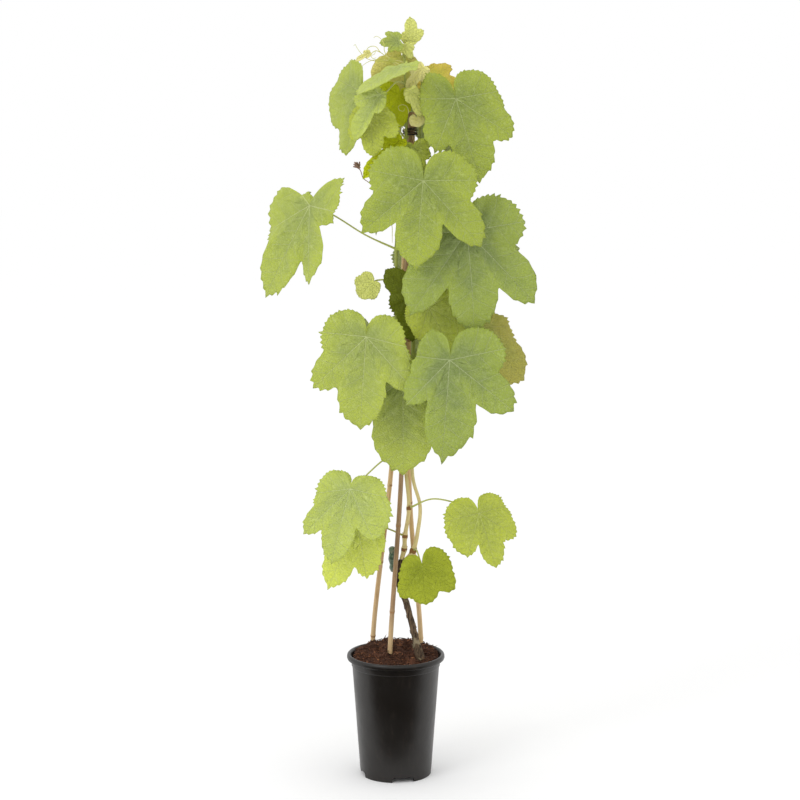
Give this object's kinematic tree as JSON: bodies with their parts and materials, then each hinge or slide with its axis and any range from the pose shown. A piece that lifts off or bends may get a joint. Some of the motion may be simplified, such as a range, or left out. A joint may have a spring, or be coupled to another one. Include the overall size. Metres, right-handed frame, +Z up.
{
  "type": "potted grapevine",
  "caption": "Young grapevine with broad lobed leaves, trained up a tripod of bamboo canes in a tapered black nursery pot.",
  "frame": {"origin": "the middle of the pot's underside, on the ground it stands on", "axes": "+Z up along the canes, -Y the front of the plant, +X to the right as seen from the front"},
  "size_m": [0.4117, 0.2338, 1.1529],
  "materials": {
    "pot": "injection-moulded black plastic, satin",
    "compost": "damp coarse bark and coir compost",
    "bamboo": "dried bamboo, smooth with darker nodes",
    "tie": "dark plant tie",
    "bark": "grey-brown peeling vine bark",
    "wax": "dark green grafting wax",
    "shoot": "green cane ripening to straw brown",
    "leaf": "fresh green leaf, matt and slightly puckered",
    "young_leaf": "downy young leaf, pale yellow-green to bronze"
  },
  "bodies": {
    "root": {"pot": "pot", "compost": "compost", "cane_left": "bamboo", "cane_middle": "bamboo", "cane_right": "bamboo", "tie_lower": "tie", "tie_upper": "tie", "trunk": "bark", "graft_stub": "wax", "shoot_left": "shoot", "shoot_right": "shoot", "leaf_low_front": "leaf", "leaf_low_right": "leaf", "leaf_low_left_back": "leaf", "leaf_low_left": "leaf", "leaf_middle_low": "leaf", "leaf_middle_left": "leaf", "leaf_middle_right": "leaf", "leaf_behind_left": "leaf", "leaf_behind_right": "leaf", "leaf_far_right": "leaf", "leaf_small_yellow": "young_leaf", "leaf_high_right": "leaf", "leaf_high_left": "leaf", "leaf_high_centre": "leaf", "leaf_curled": "leaf", "leaf_behind_centre": "leaf", "leaf_crown_right": "leaf", "leaf_crown_left": "leaf", "leaf_crown_front": "leaf", "leaf_crown_folded": "young_leaf", "leaf_crown_level": "leaf", "leaf_crown_dark": "leaf", "leaf_crown_strip": "young_leaf", "leaf_crown_young": "young_leaf", "leaf_crown_cream": "young_leaf", "leaf_crown_bronze": "young_leaf", "leaf_tip_left": "young_leaf", "leaf_tip": "young_leaf", "leaf_back_crown": "leaf", "leaf_back_crown_left": "leaf", "leaf_back_high": "leaf", "leaf_back_high_right": "leaf", "leaf_back_centre": "leaf", "leaf_back_left": "leaf", "leaf_back_right": "leaf", "leaf_back_low": "leaf", "leaf_side_right": "leaf", "leaf_side_right_low": "leaf", "leaf_side_left": "leaf", "leaf_side_left_high": "leaf"}
  },
  "joints": []
}
